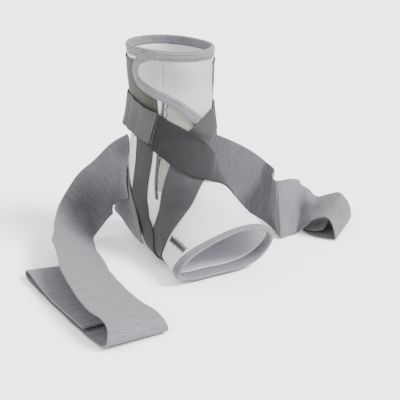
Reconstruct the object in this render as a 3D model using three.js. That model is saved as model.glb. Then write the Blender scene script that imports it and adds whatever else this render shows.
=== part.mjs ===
// Ankle brace for a right foot, with two long elastic straps lying loose beside it.
// Millimetres. X points to the toes, Y to the inner (medial) side, Z up.
// The origin is on the floor under the axis of the lower leg.
import * as THREE from 'three';

// Sizes of the sleeve's hollow, from the leg axis
const rimHeight = 181;
const footReach = 105;
const heelReach = 51;
const footHalfWidth = 44;

// Wall and webbing
const sleeveWall = 2;
const bindingWidth = 8;
const flapBindingWidth = 7;
const bindingExtra = 0.6;
const panelThickness = 1;
const flapThickness = 1.8;
const webbingThickness = 1.2;
const elasticThickness = 1.3;
const webbingWidth = 30;
const stirrupWidth = 22;
const tabWidth = 29;
const elasticWidth = 52;
const clearance = 0.5;
const seamGap = 0.35;

// Reach of the loose straps, from the leg axis
const looseForward = 156;
const looseOutward = 145;
const looseInward = 128;

// Sections of the hollow, each a plane through a front point and a back point.
// front and back: share of footReach ahead, or of heelReach where below 0.
// frontUp and backUp: share of rimHeight. half, frontShift and backShift: share of footHalfWidth.
// widest: place of the greatest width, from 0 at the back point to 1 at the front point.
// frontSquare and backSquare: exponent of the outline, 2 for an ellipse.
const sections = [
  { front: 0.400, frontUp: 1.000, back: -0.863, backUp: 1.000, half: 0.700, frontShift: 0, backShift: 0, widest: 0.50, frontSquare: 2.1, backSquare: 2.1 },
  { front: 0.386, frontUp: 0.825, back: -0.800, backUp: 0.825, half: 0.690, frontShift: 0, backShift: 0, widest: 0.50, frontSquare: 2.1, backSquare: 2.1 },
  { front: 0.391, frontUp: 0.663, back: -0.755, backUp: 0.640, half: 0.640, frontShift: -0.02, backShift: -0.02, widest: 0.50, frontSquare: 2.1, backSquare: 2.1 },
  { front: 0.428, frontUp: 0.536, back: -0.820, backUp: 0.440, half: 0.680, frontShift: -0.05, backShift: -0.05, widest: 0.50, frontSquare: 2.1, backSquare: 2.1 },
  { front: 0.543, frontUp: 0.436, back: -0.990, backUp: 0.200, half: 0.735, frontShift: -0.03, backShift: -0.01, widest: 0.50, frontSquare: 2.1, backSquare: 2.1 },
  { front: 0.657, frontUp: 0.376, back: -0.870, backUp: 0.036, half: 0.730, frontShift: 0.05, backShift: 0, widest: 0.48, frontSquare: 2.1, backSquare: 2.3 },
  { front: 0.753, frontUp: 0.328, back: -0.240, backUp: 0.028, half: 0.750, frontShift: 0.12, backShift: -0.02, widest: 0.44, frontSquare: 2.0, backSquare: 2.9 },
  { front: 0.860, frontUp: 0.288, back: 0.333, backUp: 0.033, half: 0.800, frontShift: 0.15, backShift: -0.12, widest: 0.40, frontSquare: 2.0, backSquare: 3.2 },
  { front: 1.000, frontUp: 0.240, back: 0.850, backUp: 0.024, half: 0.930, frontShift: 0.20, backShift: -0.22, widest: 0.30, frontSquare: 1.9, backSquare: 3.2 },
];

// Ankle bones: along and around as below, height and spread in share of footHalfWidth
const ankleBones = [
  { along: 0.400, around: -92, height: 0.035, spread: 0.40 },
  { along: 0.440, around: 112, height: 0.040, spread: 0.36 },
];

// Places on the sleeve: along runs from 0 at the rim to 1 at the foot opening,
// around is the angle in degrees from the front line, positive to the outer side.

// Centre lines of the webbing
const routes = {
  lateralStrap: [
    { along: 0.842, around: 168 }, { along: 0.838, around: 148 }, { along: 0.824, around: 124 },
    { along: 0.795, around: 96 }, { along: 0.720, around: 69 }, { along: 0.632, around: 50 },
    { along: 0.548, around: 31 }, { along: 0.466, around: 15 }, { along: 0.389, around: 0 },
    { along: 0.323, around: -17 }, { along: 0.280, around: -37 }, { along: 0.266, around: -66 },
    { along: 0.262, around: -105 }, { along: 0.262, around: -150 }, { along: 0.258, around: -182 },
    { along: 0.252, around: -218 },
  ],
  medialStrap: [
    { along: 0.838, around: -147 }, { along: 0.829, around: -135 }, { along: 0.810, around: -120 },
    { along: 0.755, around: -98 }, { along: 0.675, around: -76 }, { along: 0.595, around: -50 },
    { along: 0.530, around: -28 }, { along: 0.488, around: -11 }, { along: 0.434, around: 4 },
    { along: 0.377, around: 20 }, { along: 0.339, around: 35 }, { along: 0.310, around: 50 },
    { along: 0.284, around: 65 }, { along: 0.266, around: 84 }, { along: 0.258, around: 98 },
  ],
  stirrup: [
    { along: 0.325, around: 77 }, { along: 0.370, around: 76 }, { along: 0.431, around: 77 },
    { along: 0.494, around: 82 }, { along: 0.552, around: 88 }, { along: 0.606, around: 92 },
    { along: 0.680, around: 100 }, { along: 0.770, around: 115 }, { along: 0.822, around: 134 },
    { along: 0.845, around: 156 }, { along: 0.850, around: 180 }, { along: 0.845, around: 204 },
    { along: 0.815, around: 228 }, { along: 0.755, around: 246 }, { along: 0.670, around: 259 },
    { along: 0.590, around: 266 }, { along: 0.500, around: 270 }, { along: 0.410, around: 272 },
  ],
  tab: [
    { along: 0.246, around: 172 }, { along: 0.240, around: 150 }, { along: 0.240, around: 112 },
    { along: 0.250, around: 92 }, { along: 0.265, around: 75 }, { along: 0.281, around: 58 },
  ],
};

// Corners of the panels: start and end of their first row, then of their last row
const panels = {
  loop: { from: 0.046, to: 0.300, start: 54, end: 329, startLow: 54, endLow: 327 },
  hook: { from: 0.190, to: 0.370, start: -22, end: 39, startLow: -22, endLow: 43 },
  closure: { from: 0.370, to: 0.560, start: 12, end: 47, startLow: 30, endLow: 61 },
};

// Outline of the cuff flap from its inner end: upper and lower edge, then the round tip
const flapEnd = -22;
const flapTop = 0.002;
const flapTip = [
  { along: 0.005, around: 62 }, { along: 0.026, around: 79 }, { along: 0.056, around: 87 },
  { along: 0.085, around: 90 }, { along: 0.116, around: 87 }, { along: 0.136, around: 79 },
  { along: 0.154, around: 65 }, { along: 0.172, around: 49 }, { along: 0.191, around: 35 },
  { along: 0.235, around: 16 }, { along: 0.283, around: -5 }, { along: 0.325, around: -26 },
];

// Loose elastic straps, from the end sewn to the sleeve to the free end.
// ahead: share of looseForward, or of heelReach where below 0. beside: share of
// footHalfWidth. out: share of the strap's own reach to the side. up: share of elasticWidth.
// heading and lean: degrees, direction across the strap from its upper to its lower edge.
// wide: share of elasticWidth, above 1 where the strap's end is cut on a slant.
const lateralElastic = [
  { ahead: -0.450, beside: -0.640, out: 0, up: 1.365, heading: 270, lean: -92, wide: 1.22, steps: 2 },
  { ahead: -0.560, beside: -0.820, out: 0, up: 1.230, heading: 270, lean: -112, wide: 1.12, steps: 2 },
  { ahead: -0.720, beside: 0, out: -0.300, up: 1.010, heading: 270, lean: -119, wide: 1.09, steps: 2 },
  { ahead: -0.870, beside: 0, out: -0.385, up: 0.780, heading: 270, lean: -122, wide: 1.06, steps: 3 },
  { ahead: -0.940, beside: 0, out: -0.480, up: 0.46, heading: 272, lean: -137, wide: 1, steps: 4 },
  { ahead: -0.660, beside: 0, out: -0.555, up: 0.34, heading: 285, lean: -145, wide: 1, steps: 3 },
  { ahead: -0.320, beside: 0, out: -0.610, up: 0.31, heading: 286, lean: -150, wide: 1, steps: 3 },
  { ahead: 0.090, beside: 0, out: -0.680, up: 0.31, heading: 281, lean: -154, wide: 1, steps: 3 },
  { ahead: 0.370, beside: 0, out: -0.770, up: 0.34, heading: 284, lean: -161, wide: 1, steps: 3 },
  { ahead: 0.710, beside: 0, out: -0.815, up: 0.30, heading: 286, lean: -168, wide: 1, steps: 3 },
  { ahead: 0.925, beside: 0, out: -0.815, up: 0.33, heading: 282, lean: -168, wide: 1, steps: 3 },
  { ahead: 1.000, beside: 0, out: -0.808, up: 0.215, heading: 276, lean: -169, wide: 1, steps: 3 },
  { ahead: 0.960, beside: 0, out: -0.818, up: 0.030, heading: 274, lean: -178.5, wide: 1, steps: 3 },
  { ahead: 0.600, beside: 0, out: -0.830, up: 0.018, heading: 273, lean: -180, wide: 1, steps: 4 },
  { ahead: 0.130, beside: 0, out: -0.820, up: 0.018, heading: 268, lean: -180, wide: 1, steps: 2 },
  { ahead: 0.055, beside: 0, out: -0.815, up: 0.070, heading: 266, lean: -177, wide: 1, steps: 2 },
  { ahead: 0.120, beside: 0, out: -0.818, up: 0.115, heading: 266, lean: -176, wide: 1, steps: 3 },
  { ahead: 0.420, beside: 0, out: -0.835, up: 0.085, heading: 272, lean: -178, wide: 1, steps: 3 },
  { ahead: 0.790, beside: 0, out: -0.830, up: 0.085, heading: 274, lean: -178, wide: 1, steps: 0 },
];

const medialElastic = [
  { ahead: -0.030, beside: -0.84, out: 0, up: 0.680, heading: 180, lean: -115, wide: 1, steps: 3 },
  { ahead: -0.450, beside: -0.78, out: 0, up: 0.830, heading: 178, lean: -80, wide: 1, steps: 3 },
  { ahead: -0.900, beside: -0.58, out: 0, up: 0.960, heading: 225, lean: -72, wide: 1, steps: 3 },
  { ahead: -1.110, beside: 0.00, out: 0, up: 1.270, heading: 180, lean: -80, wide: 1, steps: 3 },
  { ahead: -0.980, beside: 0.60, out: 0, up: 1.340, heading: 110, lean: -94, wide: 1, steps: 3 },
  { ahead: -0.569, beside: 0.00, out: 0.391, up: 1.220, heading: 72, lean: -110, wide: 1, steps: 3 },
  { ahead: -0.196, beside: 0.00, out: 0.586, up: 0.960, heading: 76, lean: -114, wide: 1, steps: 3 },
  { ahead: 0.032, beside: 0.00, out: 0.758, up: 0.620, heading: 70, lean: -104, wide: 1, steps: 2 },
  { ahead: 0.122, beside: 0.00, out: 0.754, up: 0.520, heading: 20, lean: -90, wide: 1, steps: 2 },
  { ahead: 0.247, beside: 0.00, out: 0.699, up: 0.510, heading: -18, lean: -74, wide: 1, steps: 2 },
  { ahead: 0.247, beside: 0.00, out: 0.801, up: 0.500, heading: -35, lean: -72, wide: 1, steps: 2 },
  { ahead: 0.218, beside: 0.00, out: 0.895, up: 0.430, heading: -40, lean: -60, wide: 1, steps: 2 },
  { ahead: 0.176, beside: 0.00, out: 0.961, up: 0.340, heading: -40, lean: -40, wide: 1, steps: 2 },
  { ahead: 0.202, beside: 0.00, out: 1.008, up: 0.360, heading: -39, lean: -22, wide: 1, steps: 1 },
  { ahead: 0.228, beside: 0.00, out: 1.047, up: 0.350, heading: -42, lean: -6, wide: 1, steps: 1 },
  { ahead: 0.308, beside: 0.00, out: 1.091, up: 0.450, heading: -43, lean: -5, wide: 1, steps: 2 },
  { ahead: 0.359, beside: 0.00, out: 1.121, up: 0.440, heading: -47, lean: -14, wide: 1, steps: 2 },
  { ahead: 0.394, beside: 0.00, out: 1.148, up: 0.220, heading: -54, lean: -14, wide: 1, steps: 2 },
  { ahead: 0.378, beside: 0.00, out: 1.164, up: 0.020, heading: -55, lean: -1, wide: 1, steps: 2 },
  { ahead: 0.282, beside: 0.00, out: 1.086, up: 0.016, heading: -56, lean: 0, wide: 1, steps: 2 },
  { ahead: 0.192, beside: 0.00, out: 1.077, up: 0.018, heading: -56, lean: 0, wide: 1, steps: 2 },
  { ahead: 0.179, beside: 0.00, out: 1.082, up: 0.060, heading: -56, lean: 0, wide: 1, steps: 2 },
  { ahead: 0.256, beside: 0.00, out: 1.109, up: 0.080, heading: -55, lean: 0, wide: 1, steps: 2 },
  { ahead: 0.301, beside: 0.00, out: 1.141, up: 0.180, heading: -54, lean: -4, wide: 1, steps: 0 },
];

function smoothStep(value) {
  const t = Math.min(1, Math.max(0, value));
  return t * t * (3 - 2 * t);
}

// Smooth curve through values at rising knots
function spline(knots, values, t) {
  const last = knots.length - 1;
  let i = 0;
  while (i < last - 1 && t > knots[i + 1]) i += 1;
  const slope = (k) => {
    const a = Math.max(0, k - 1);
    const b = Math.min(last, k + 1);
    return (values[b] - values[a]) / (knots[b] - knots[a]);
  };
  const span = knots[i + 1] - knots[i];
  const u = (t - knots[i]) / span;
  const u2 = u * u;
  const u3 = u2 * u;
  return (2 * u3 - 3 * u2 + 1) * values[i] + (u3 - 2 * u2 + u) * span * slope(i)
    + (3 * u2 - 2 * u3) * values[i + 1] + (u3 - u2) * span * slope(i + 1);
}

const reach = (share) => share * (share < 0 ? heelReach : footReach);
const sectionSizes = sections.map((row) => ({
  frontX: reach(row.front),
  frontZ: row.frontUp * rimHeight,
  backX: reach(row.back),
  backZ: row.backUp * rimHeight,
  half: row.half * footHalfWidth,
  frontShift: row.frontShift * footHalfWidth,
  backShift: row.backShift * footHalfWidth,
  widest: row.widest,
  frontSquare: row.frontSquare,
  backSquare: row.backSquare,
}));

// Knots of the sections, by the mean distance between their ends
const sectionKnots = sectionSizes.map(() => 0);
for (let i = 1; i < sectionSizes.length; i += 1) {
  const a = sectionSizes[i - 1];
  const b = sectionSizes[i];
  const front = Math.hypot(b.frontX - a.frontX, b.frontZ - a.frontZ);
  const back = Math.hypot(b.backX - a.backX, b.backZ - a.backZ);
  sectionKnots[i] = sectionKnots[i - 1] + (front + back) / 2;
}
const knotTotal = sectionKnots[sectionKnots.length - 1];
for (let i = 0; i < sectionKnots.length; i += 1) sectionKnots[i] /= knotTotal;

function sectionAt(along) {
  const row = {};
  for (const key of Object.keys(sectionSizes[0])) {
    row[key] = spline(sectionKnots, sectionSizes.map((item) => item[key]), along);
  }
  return row;
}

// Point on the hollow, before the ankle bones
function plainPoint(along, around) {
  const row = sectionAt(along);
  const angle = around * Math.PI / 180;
  const front = smoothStep(0.5 + 0.5 * Math.cos(angle));
  const square = row.backSquare + (row.frontSquare - row.backSquare) * front;
  const cosine = Math.cos(angle);
  const sine = Math.sin(angle);
  const radius = (Math.abs(cosine) ** square + Math.abs(sine) ** square) ** (-1 / square);
  const deep = radius * cosine;
  const share = row.widest + deep * (deep > 0 ? 1 - row.widest : row.widest);
  const mix = (back, front) => back + (front - back) * share;
  return new THREE.Vector3(
    mix(row.backX, row.frontX),
    mix(row.backShift, row.frontShift) - radius * sine * row.half,
    mix(row.backZ, row.frontZ),
  );
}

function plainNormal(along, around) {
  const step = 0.004;
  const low = Math.max(0, along - step);
  const high = Math.min(1, along + step);
  const down = plainPoint(high, around).sub(plainPoint(low, around));
  const side = plainPoint(along, around + 1).sub(plainPoint(along, around - 1));
  return side.cross(down).normalize();
}

const boneCentres = ankleBones.map((bone) => plainPoint(bone.along, bone.around));

// Point and outward normal of the hollow
function formAt(along, around) {
  const point = plainPoint(along, around);
  const normal = plainNormal(along, around);
  ankleBones.forEach((bone, i) => {
    const near = point.distanceTo(boneCentres[i]) / (bone.spread * footHalfWidth);
    point.addScaledVector(normal, bone.height * footHalfWidth * Math.exp(-near * near));
  });
  return { point, normal };
}

// Step over the hollow from one place towards a direction, by a length
function stepOver(place, direction, length) {
  const here = plainPoint(place.along, place.around);
  const alongStep = place.along < 0.5 ? 0.002 : -0.002;
  const down = plainPoint(place.along + alongStep, place.around).sub(here).divideScalar(alongStep);
  const side = plainPoint(place.along, place.around + 0.5).sub(here).divideScalar(0.5);
  const dd = down.dot(down);
  const ds = down.dot(side);
  const ss = side.dot(side);
  const fd = down.dot(direction) * length;
  const fs = side.dot(direction) * length;
  const det = dd * ss - ds * ds;
  return {
    along: place.along + (fd * ss - fs * ds) / det,
    around: place.around + (fs * dd - fd * ds) / det,
  };
}

// Walk over the hollow in a straight line, to a list of distances
function walkOver(place, direction, distances) {
  const stride = 2;
  const places = [];
  let spot = { ...place };
  let heading = direction.clone();
  let gone = 0;
  for (const distance of distances) {
    while (gone < distance - 1e-9) {
      const length = Math.min(stride, distance - gone);
      const normal = plainNormal(Math.min(1, Math.max(0, spot.along)), spot.around);
      heading.addScaledVector(normal, -heading.dot(normal)).normalize();
      spot = stepOver(spot, heading, length);
      gone += length;
    }
    places.push({ ...spot });
  }
  return places;
}

// Heights above the hollow that pieces already laid reach
const mapRows = 90;
const mapColumns = 120;
const heightMap = [];
for (let i = 0; i <= mapRows; i += 1) {
  for (let j = 0; j < mapColumns; j += 1) {
    const edging = bindingWidth / knotTotal;
    const along = i / mapRows;
    const around = j * 360 / mapColumns;
    heightMap.push({
      point: plainPoint(along, around),
      normal: plainNormal(along, around),
      height: sleeveWall + (along < edging || along > 1 - edging ? bindingExtra : 0),
    });
  }
}

function heightNear(point, radius) {
  let height = 0;
  for (const cell of heightMap) {
    if (cell.height > height && cell.point.distanceToSquared(point) < radius * radius) {
      height = cell.height;
    }
  }
  return height;
}

// Lift of each place of a grid, so that the piece clears all that lies under it
function liftGrid(grid, nearRadius, passes) {
  const need = grid.map((row) => row.map((place) => heightNear(plainPoint(place.along, place.around), nearRadius)));
  let lift = need.map((row) => row.slice());
  for (let pass = 0; pass < passes; pass += 1) {
    lift = lift.map((row, i) => row.map((value, j) => {
      const around = [value, value];
      if (i > 0) around.push(lift[i - 1][j]);
      if (i < lift.length - 1) around.push(lift[i + 1][j]);
      if (j > 0) around.push(row[j - 1]);
      if (j < row.length - 1) around.push(row[j + 1]);
      return Math.max(need[i][j], around.reduce((sum, item) => sum + item, 0) / around.length);
    }));
  }
  return lift;
}

// Move a point of a loose strap out of what is already laid
function pushOut(point, room, nearRadius) {
  let nearest = heightMap[0];
  let best = Infinity;
  for (const cell of heightMap) {
    const distance = cell.point.distanceToSquared(point);
    if (distance < best) {
      best = distance;
      nearest = cell;
    }
  }
  let height = 0;
  for (const cell of heightMap) {
    if (cell.height > height && cell.point.distanceTo(nearest.point) < nearRadius) height = cell.height;
  }
  const gap = point.clone().sub(nearest.point).dot(nearest.normal) - height - room;
  if (gap < 0) point.addScaledVector(nearest.normal, -gap);
}

// Note where a loose strap lies over the sleeve
function coverLoose(rows, half) {
  const beside = 9;
  const farthest = 16;
  const offset = new THREE.Vector3();
  for (const row of rows) {
    for (const point of row) {
      for (const cell of heightMap) {
        offset.subVectors(point, cell.point);
        const rise = offset.dot(cell.normal);
        if (rise < 0 || rise > farthest || rise + half < cell.height) continue;
        if (offset.lengthSq() - rise * rise < beside * beside) cell.height = rise + half;
      }
    }
  }
}

function coverMap(grid, tops) {
  const reachOut = 4.5;
  for (let i = 0; i < grid.length - 1; i += 1) {
    for (let j = 0; j < grid[0].length - 1; j += 1) {
      const corners = [[i, j], [i + 1, j], [i, j + 1], [i + 1, j + 1]];
      const points = corners.map(([a, b]) => plainPoint(grid[a][b].along, grid[a][b].around));
      const top = Math.max(...corners.map(([a, b]) => tops[a][b]));
      const middle = points.reduce((sum, p) => sum.add(p), new THREE.Vector3()).divideScalar(4);
      const span = Math.max(...points.map((p) => p.distanceTo(middle)));
      for (const cell of heightMap) {
        if (cell.height < top && cell.point.distanceTo(middle) < span + reachOut / 2) cell.height = top;
      }
    }
  }
}

// Closed solid between two grids of points; wrap joins the last row to the first
function slab(lower, upper, wrap = false) {
  const rows = lower.length;
  const columns = lower[0].length;
  const positions = [];
  for (const grid of [lower, upper]) {
    for (const row of grid) for (const p of row) positions.push(p.x, p.y, p.z);
  }
  const low = (i, j) => (i % rows) * columns + j;
  const high = (i, j) => rows * columns + low(i, j);
  const faces = [];
  const quad = (a, b, c, d) => faces.push(a, b, c, a, c, d);
  const lastRow = wrap ? rows : rows - 1;
  for (let i = 0; i < lastRow; i += 1) {
    for (let j = 0; j < columns - 1; j += 1) {
      quad(high(i, j), high(i + 1, j), high(i + 1, j + 1), high(i, j + 1));
      quad(low(i, j), low(i, j + 1), low(i + 1, j + 1), low(i + 1, j));
    }
    quad(low(i, 0), low(i + 1, 0), high(i + 1, 0), high(i, 0));
    quad(low(i + 1, columns - 1), low(i, columns - 1), high(i, columns - 1), high(i + 1, columns - 1));
  }
  if (!wrap) {
    for (let j = 0; j < columns - 1; j += 1) {
      quad(low(0, j + 1), low(0, j), high(0, j), high(0, j + 1));
      quad(low(rows - 1, j), low(rows - 1, j + 1), high(rows - 1, j + 1), high(rows - 1, j));
    }
  }
  const geometry = new THREE.BufferGeometry();
  geometry.setAttribute('position', new THREE.Float32BufferAttribute(positions, 3));
  geometry.setIndex(faces);
  if (signedVolume(geometry) < 0) {
    for (let k = 0; k < faces.length; k += 3) [faces[k], faces[k + 1]] = [faces[k + 1], faces[k]];
    geometry.setIndex(faces);
  }
  geometry.computeVertexNormals();
  return geometry;
}

function signedVolume(geometry) {
  const p = geometry.attributes.position;
  const index = geometry.index.array;
  const corner = (k) => new THREE.Vector3().fromBufferAttribute(p, index[k]);
  let sum = 0;
  for (let k = 0; k < index.length; k += 3) sum += corner(k).dot(corner(k + 1).cross(corner(k + 2)));
  return sum / 6;
}

// Points of a grid of places, at heights above the hollow, never below the floor
function raise(grid, heights) {
  return grid.map((row, i) => row.map((place, j) => {
    const { point, normal } = formAt(Math.min(1, Math.max(0, place.along)), place.around);
    point.addScaledVector(normal, heights[i][j]);
    point.z = Math.max(0, point.z);
    return point;
  }));
}

const constantGrid = (grid, value) => grid.map((row) => row.map(() => value));

// Raise the lift where the straight edges between the grid's points would cut a bend
function clearBends(grid, lift) {
  const place = (along, around) => formAt(Math.min(1, Math.max(0, along)), around);
  const points = raise(grid, lift);
  const more = constantGrid(grid, 0);
  const test = (i, j, k, l) => {
    const here = grid[i][j];
    const there = grid[k][l];
    const { point, normal } = place((here.along + there.along) / 2, (here.around + there.around) / 2);
    const middle = points[i][j].clone().add(points[k][l]).divideScalar(2);
    const cut = (lift[i][j] + lift[k][l]) / 2 - middle.sub(point).dot(normal);
    if (cut > 0) {
      more[i][j] = Math.max(more[i][j], cut);
      more[k][l] = Math.max(more[k][l], cut);
    }
  };
  for (let i = 0; i < grid.length; i += 1) {
    for (let j = 0; j < grid[0].length; j += 1) {
      if (i > 0) test(i, j, i - 1, j);
      if (j > 0) test(i, j, i, j - 1);
      if (i > 0 && j > 0) test(i, j, i - 1, j - 1);
    }
  }
  return lift.map((row, i) => row.map((value, j) => value + more[i][j]));
}

// A piece laid on the sleeve and on all that was laid before it
function liftOver(grid, smoothing = 3) {
  const nearRadius = 8;
  const lift = liftGrid(grid, nearRadius, smoothing).map((row) => row.map((value) => value + clearance));
  return clearBends(grid, lift);
}

function layPiece(grid, lift, thickness) {
  const tops = lift.map((row) => row.map((value) => value + thickness));
  coverMap(grid, tops);
  return slab(raise(grid, lift), raise(grid, tops));
}

// Part of the sleeve all the way round, between two heights above the hollow
function ring(from, to, rows, columns, inner, outer) {
  const grid = [];
  for (let j = 0; j < columns; j += 1) {
    const row = [];
    for (let i = 0; i <= rows; i += 1) {
      row.push({ along: from + (to - from) * i / rows, around: j * 360 / columns });
    }
    grid.push(row);
  }
  return slab(raise(grid, constantGrid(grid, inner)), raise(grid, constantGrid(grid, outer)), true);
}

// Four-sided patch of the sleeve's own coordinates
function patchGrid(panel, rows, columns) {
  const grid = [];
  for (let i = 0; i <= rows; i += 1) {
    const down = i / rows;
    const start = panel.start + (panel.startLow - panel.start) * down;
    const end = panel.end + (panel.endLow - panel.end) * down;
    const row = [];
    for (let j = 0; j <= columns; j += 1) {
      row.push({ along: panel.from + (panel.to - panel.from) * down, around: start + (end - start) * j / columns });
    }
    grid.push(row);
  }
  return grid;
}

// Places along a route, evenly spaced, with the direction of travel at each
function followRoute(route, spacing) {
  const knots = route.map((_, i) => i);
  const at = (t) => ({
    along: spline(knots, route.map((item) => item.along), t),
    around: spline(knots, route.map((item) => item.around), t),
  });
  const fine = 40 * (route.length - 1);
  const lengths = [0];
  let before = plainPoint(route[0].along, route[0].around);
  for (let k = 1; k <= fine; k += 1) {
    const place = at(k * (route.length - 1) / fine);
    const point = plainPoint(place.along, place.around);
    lengths.push(lengths[k - 1] + point.distanceTo(before));
    before = point;
  }
  const total = lengths[fine];
  const count = Math.max(2, Math.round(total / spacing));
  const stations = [];
  let k = 0;
  for (let i = 0; i <= count; i += 1) {
    const target = total * i / count;
    while (k < fine - 1 && lengths[k + 1] < target) k += 1;
    const t = (k + (target - lengths[k]) / (lengths[k + 1] - lengths[k])) * (route.length - 1) / fine;
    const place = at(t);
    const ahead = at(Math.min(route.length - 1, t + 0.02));
    const behind = at(Math.max(0, t - 0.02));
    const direction = plainPoint(ahead.along, ahead.around)
      .sub(plainPoint(behind.along, behind.around)).normalize();
    stations.push({ place, direction });
  }
  return stations;
}

// Grid of a strap of one width along a route
function strapGrid(route, width, spacing, across) {
  return followRoute(route, spacing).map(({ place, direction }) => {
    const normal = plainNormal(place.along, place.around);
    const side = normal.clone().cross(direction).normalize();
    const distances = [];
    for (let j = 1; j <= across / 2; j += 1) distances.push(width * j / across);
    const right = walkOver(place, side.clone().negate(), distances).reverse();
    const left = walkOver(place, side, distances);
    return [...right, place, ...left];
  });
}

const group = new THREE.Group();

function addPiece(name, geometry, look) {
  const mesh = new THREE.Mesh(geometry, new THREE.MeshStandardMaterial({ metalness: 0, ...look }));
  mesh.name = name;
  group.add(mesh);
}

const looks = {
  laminate: { color: 0xd9d6dc, roughness: 0.75 },
  binding: { color: 0xb9bbc0, roughness: 0.8 },
  loop: { color: 0x73706a, roughness: 0.95 },
  hook: { color: 0xd2d0c8, roughness: 0.85 },
  webbing: { color: 0x5a5a5d, roughness: 0.8 },
  stirrup: { color: 0x645f5c, roughness: 0.8 },
  tab: { color: 0x767575, roughness: 0.7 },
  elastic: { color: 0xa5a5aa, roughness: 0.85 },
};

// The sleeve and its two edgings
const sleeveLength = knotTotal;
const bindingShare = bindingWidth / sleeveLength;
const seamShare = seamGap / sleeveLength;
const sleeveRows = 20;
const ringColumns = 42;
addPiece('sleeve', ring(bindingShare + seamShare, 1 - bindingShare - seamShare, sleeveRows, ringColumns, 0, sleeveWall), looks.laminate);
addPiece('rim_binding', ring(0, bindingShare, 2, ringColumns, -bindingExtra, sleeveWall + bindingExtra), looks.binding);
addPiece('foot_binding', ring(1 - bindingShare, 1, 2, ringColumns, -bindingExtra, sleeveWall + bindingExtra), looks.binding);

// Cuff panels
function addLaid(name, grid, thickness, look, smoothing) {
  addPiece(name, layPiece(grid, liftOver(grid, smoothing), thickness), look);
}

addLaid('loop_panel', patchGrid(panels.loop, 7, 22), panelThickness, looks.loop);
addLaid('hook_strip', patchGrid(panels.hook, 5, 6), panelThickness, looks.hook);
addLaid('closure_patch', patchGrid(panels.closure, 5, 4), panelThickness, looks.hook);

// Places along the flap's outline, evenly spaced
function outlinePlaces(count) {
  const knots = flapTip.map((_, i) => i);
  const places = [];
  for (let i = 0; i <= count; i += 1) {
    const t = (flapTip.length - 1) * i / count;
    places.push({
      along: spline(knots, flapTip.map((item) => item.along), t),
      around: spline(knots, flapTip.map((item) => item.around), t),
    });
  }
  return places;
}

// The flap's outline from the upper inner corner round the tip to the lower inner corner
function flapOutline() {
  const top = [];
  const topSteps = 10;
  for (let i = 0; i < topSteps; i += 1) {
    top.push({ along: flapTop, around: flapEnd + (flapTip[0].around - flapEnd) * i / topSteps });
  }
  return [...top, ...outlinePlaces(24)];
}

// Binding along the outline, and the places of its inner edge
function flapParts() {
  const outline = flapOutline();
  const strips = outline.map((place, i) => {
    const ahead = outline[Math.min(outline.length - 1, i + 1)];
    const behind = outline[Math.max(0, i - 1)];
    const direction = plainPoint(ahead.along, ahead.around)
      .sub(plainPoint(behind.along, behind.around)).normalize();
    const inward = plainNormal(place.along, place.around).cross(direction).normalize();
    const inner = walkOver(place, inward, [flapBindingWidth / 2, flapBindingWidth, flapBindingWidth + seamGap]);
    return { edge: [place, inner[0], inner[1]], seam: inner[2] };
  });
  return { binding: strips.map((strip) => strip.edge), seam: strips.map((strip) => strip.seam) };
}

// Inside of the flap: rows from the tip to the inner end, across between the two edges
function flapGrid(seam, across) {
  const last = seam.length - 1;
  const tip = Math.round(last * 0.46);
  const rows = [];
  for (let i = 1; i <= tip; i += 1) {
    const upper = seam[tip - i];
    const lower = seam[tip + Math.round((last - tip) * i / tip)];
    const row = [];
    for (let j = 0; j <= across; j += 1) {
      row.push({
        along: upper.along + (lower.along - upper.along) * j / across,
        around: upper.around + (lower.around - upper.around) * j / across,
      });
    }
    rows.push(row);
  }
  return rows;
}

const flap = flapParts();
const flapField = flapGrid(flap.seam, 8);
const flapLift = liftOver(flapField);
const flapBindingLift = liftOver(flap.binding);
addPiece('cuff_flap', layPiece(flapField, flapLift, flapThickness), looks.laminate);
addPiece('flap_binding', layPiece(flap.binding, flapBindingLift, flapThickness + bindingExtra), looks.binding);

// Loose strap from its table: a ruled ribbon of one width, whose first steps lie on the sleeve
function looseStrap(table, sideReach, root) {
  const knots = table.map((_, i) => i);
  const column = (key) => table.map((row) => row[key]);
  const at = (t) => {
    const ahead = spline(knots, column('ahead'), t);
    const heading = spline(knots, column('heading'), t) * Math.PI / 180;
    const lean = spline(knots, column('lean'), t) * Math.PI / 180;
    const centre = new THREE.Vector3(
      ahead * (ahead < 0 ? heelReach : looseForward),
      spline(knots, column('beside'), t) * footHalfWidth + spline(knots, column('out'), t) * sideReach,
      spline(knots, column('up'), t) * elasticWidth,
    );
    const across = new THREE.Vector3(
      Math.cos(lean) * Math.cos(heading), Math.cos(lean) * Math.sin(heading), Math.sin(lean),
    );
    const width = spline(knots, column('wide'), t) * elasticWidth;
    return [-0.5, -0.25, 0, 0.25, 0.5].map((share) => centre.clone().addScaledVector(across, share * width));
  };
  const times = [];
  table.forEach((row, i) => {
    for (let k = 0; k < row.steps; k += 1) times.push(i + k / row.steps);
  });
  times.push(table.length - 1);
  const middle = times.map(at);
  const rootRows = middle.slice(0, root.steps);
  for (const row of rootRows) {
    for (const point of row) pushOut(point, root.room + elasticThickness / 2, root.radius);
  }
  coverLoose(rootRows, elasticThickness / 2);
  const offset = (sign) => middle.map((row, i) => row.map((point, j) => {
    const ahead = middle[Math.min(middle.length - 1, i + 1)][j];
    const behind = middle[Math.max(0, i - 1)][j];
    const across = row[row.length - 1].clone().sub(row[0]);
    const normal = ahead.clone().sub(behind).cross(across).normalize();
    const moved = point.clone().addScaledVector(normal, sign * elasticThickness / 2);
    moved.z = Math.max(moved.z, 0);
    return moved;
  }));
  return slab(offset(-1), offset(1));
}

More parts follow.
